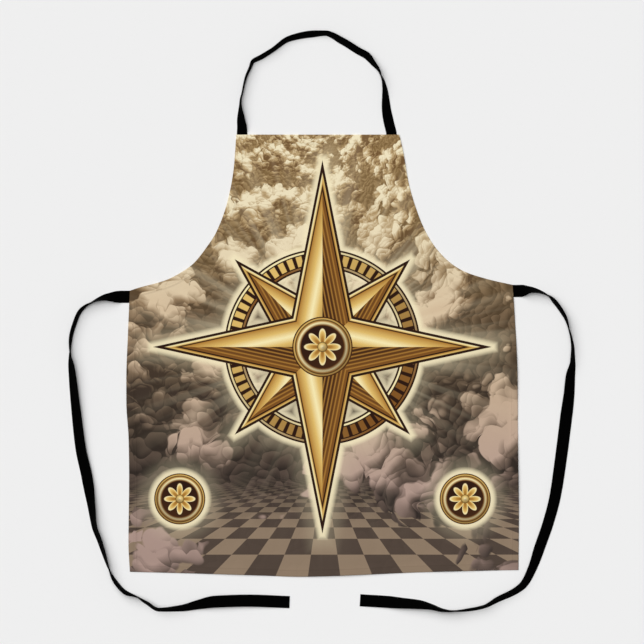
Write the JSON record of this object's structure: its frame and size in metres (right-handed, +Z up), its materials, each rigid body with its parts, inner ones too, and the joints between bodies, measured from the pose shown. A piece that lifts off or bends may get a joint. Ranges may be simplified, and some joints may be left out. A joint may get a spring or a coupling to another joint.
{
  "type": "masonic bib apron",
  "caption": "Printed cloth bib apron lying flat, with a webbing neck loop over the bib and waist ties that run down beside the skirt and in under the hem.",
  "frame": {"origin": "on the surface that the apron lies on, under the middle of its whole outline, ties and neck loop included", "axes": "+Z up from the surface, +Y from the hem towards the neck loop, +X to the right of someone who looks down on the printed face"},
  "size_m": [0.8752, 1.0024, 0.0215],
  "materials": {
    "printed_cloth": "matte woven polyester with a printed face in golds, creams and browns, white at the back",
    "webbing": "matte black polypropylene webbing"
  },
  "bodies": {
    "root": {"panel": "printed_cloth", "neck_strap": "webbing", "waist_tie_left": "webbing", "waist_tie_right": "webbing"}
  },
  "joints": []
}
